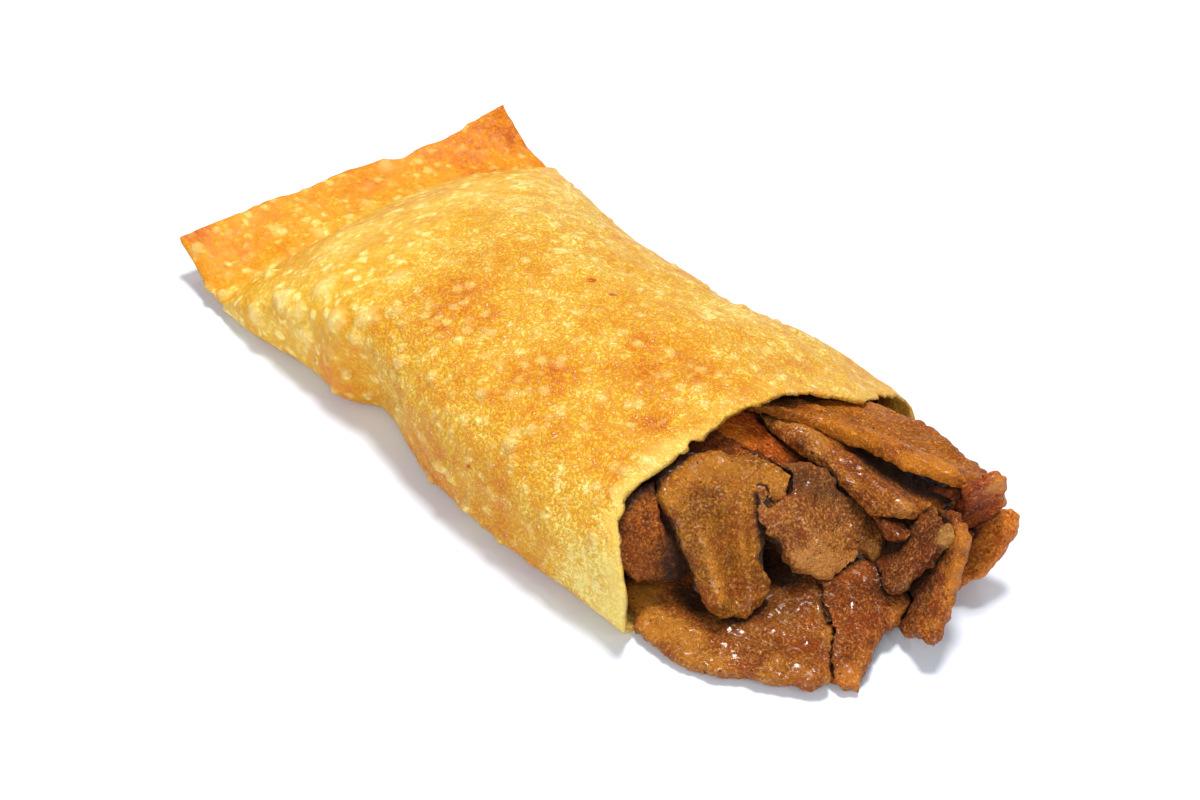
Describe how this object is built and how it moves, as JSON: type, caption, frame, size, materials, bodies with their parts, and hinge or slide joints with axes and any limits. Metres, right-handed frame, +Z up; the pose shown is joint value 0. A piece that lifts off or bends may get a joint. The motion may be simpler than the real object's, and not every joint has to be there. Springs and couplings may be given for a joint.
{
  "type": "donair egg roll",
  "caption": "Fried egg roll, pressed flat at one end and open at the other, with shaved donair meat spilling out.",
  "frame": {"origin": "middle of the footprint, on the surface that the roll lies on", "axes": "+X along the roll from the flat pressed end to the open end, +Z up"},
  "size_m": [0.1714, 0.0794, 0.0273],
  "materials": {
    "fried_dough": "crisp, blistered and slightly oily",
    "packed_meat": "moist, rough",
    "shaved_meat": "moist, grainy",
    "browned_meat": "moist, browned"
  },
  "bodies": {
    "root": {"wrapper": "fried_dough", "filling_core": "packed_meat", "slice_floor_left": "shaved_meat", "slice_floor_mid": "shaved_meat", "slice_floor_right": "shaved_meat", "slice_right_far": "shaved_meat", "slice_right_mid": "shaved_meat", "slice_centre": "shaved_meat", "slice_draped": "shaved_meat", "slice_small": "shaved_meat", "slice_end_flap": "shaved_meat", "slice_left_back": "browned_meat", "slice_back": "browned_meat", "slice_back_low": "browned_meat", "slice_top": "browned_meat", "slice_second": "browned_meat", "slice_right_back": "browned_meat"}
  },
  "joints": []
}
